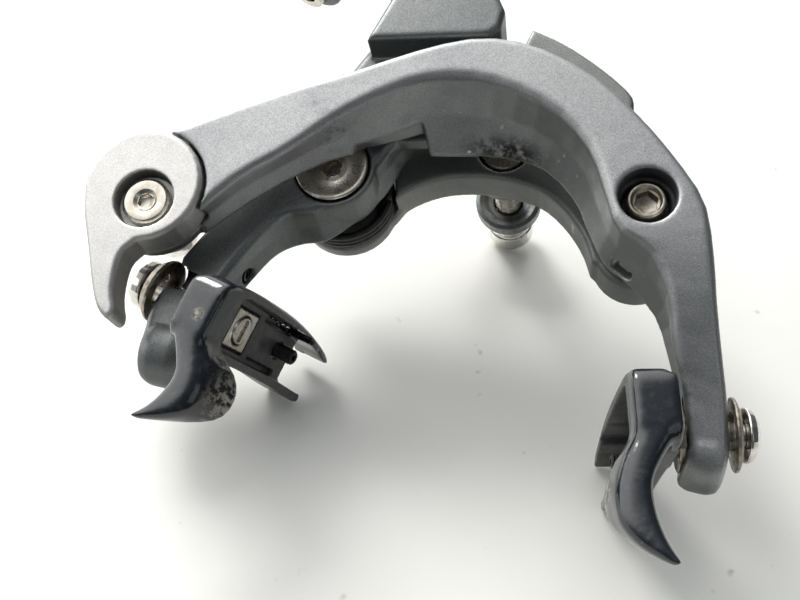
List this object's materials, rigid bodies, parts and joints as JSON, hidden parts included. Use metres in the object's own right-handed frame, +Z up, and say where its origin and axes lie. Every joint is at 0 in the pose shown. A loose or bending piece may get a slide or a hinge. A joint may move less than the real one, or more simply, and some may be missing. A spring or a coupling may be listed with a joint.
{
  "type": "road bicycle rim-brake caliper",
  "caption": "Dual-pivot rim-brake caliper with two arms, pivot bracket, return spring, quick-release lever and open pad holders with wheel guides.",
  "frame": {"origin": "on the mounting bolt's axis, in the seat face at the back of the pivot bracket", "axes": "+Y rearwards along the mounting bolt, +Z up when fitted to the bicycle, +X to the right seen from the front"},
  "size_m": [0.1335, 0.0812, 0.1311],
  "materials": {
    "arm_paint": "satin dark grey metallic paint over forged aluminium",
    "holder_gloss": "gloss dark blue-grey, matt and dusty inside the channel",
    "steel": "machined steel, slightly tarnished",
    "chrome": "bright plated",
    "black": "black oxide steel and dark polymer bushes"
  },
  "bodies": {
    "bracket": {"pivot_bracket": "arm_paint", "mounting_bolt": "steel", "mount_washer": "steel", "sleeve_nut": "chrome", "right_pivot_bolt": "steel", "left_pivot_bolt": "steel", "spring_sleeve": "black", "return_spring": "black"},
    "front_arm": {"front_arm": "arm_paint", "right_pivot_bush": "black", "right_shoe_holder": "holder_gloss", "right_shoe_bolt": "steel", "right_dome_washer": "steel", "right_cup_washer": "steel", "right_outer_washer": "steel", "right_dome_nut": "chrome", "right_pad_screw": "black"},
    "rear_arm": {"rear_arm": "arm_paint", "left_pivot_bush": "black", "roller_pin": "steel", "centring_screw": "steel", "left_shoe_holder": "holder_gloss", "left_shoe_bolt": "steel", "left_dome_washer": "steel", "left_cup_washer": "steel", "left_outer_washer": "steel", "left_dome_nut": "chrome", "left_pad_screw": "black"},
    "roller": {"sync_roller": "steel"},
    "release": {"release_lever": "arm_paint", "release_screw": "steel", "anchor_nut": "chrome", "clamp_plate": "steel"},
    "adjuster": {"barrel_adjuster": "steel"}
  },
  "joints": [
    {"name": "front_arm_pivot", "type": "hinge", "parent": "bracket", "child": "front_arm", "pos_m": [0.0315, -0.02, -0.0165], "axis": [0, 1, 0], "range_deg": [0, 12], "stiffness_Nm_per_rad": 0.9, "springref_deg": -34.38, "deforming": ["return_spring"]},
    {"name": "rear_arm_pivot", "type": "hinge", "parent": "bracket", "child": "rear_arm", "pos_m": [-0.0315, -0.02, -0.0165], "axis": [0, 1, 0], "range_deg": [-12, 0]},
    {"name": "roller_spin", "type": "hinge", "parent": "rear_arm", "child": "roller", "pos_m": [0, -0.028, 0.0016], "axis": [0, 1, 0], "continuous": true},
    {"name": "release_turn", "type": "hinge", "parent": "front_arm", "child": "release", "pos_m": [-0.0622, -0.034, -0.0335], "axis": [0, 1, 0], "range_deg": [0, 95]},
    {"name": "adjuster_turn", "type": "hinge", "parent": "rear_arm", "child": "adjuster", "pos_m": [-0.0456, -0.0245, 0.03], "axis": [0.2245, 0, 0.9745], "continuous": true}
  ],
  "couplings": [
    {"joint": "rear_arm_pivot", "follows": "front_arm_pivot", "ratio": -1}
  ]
}
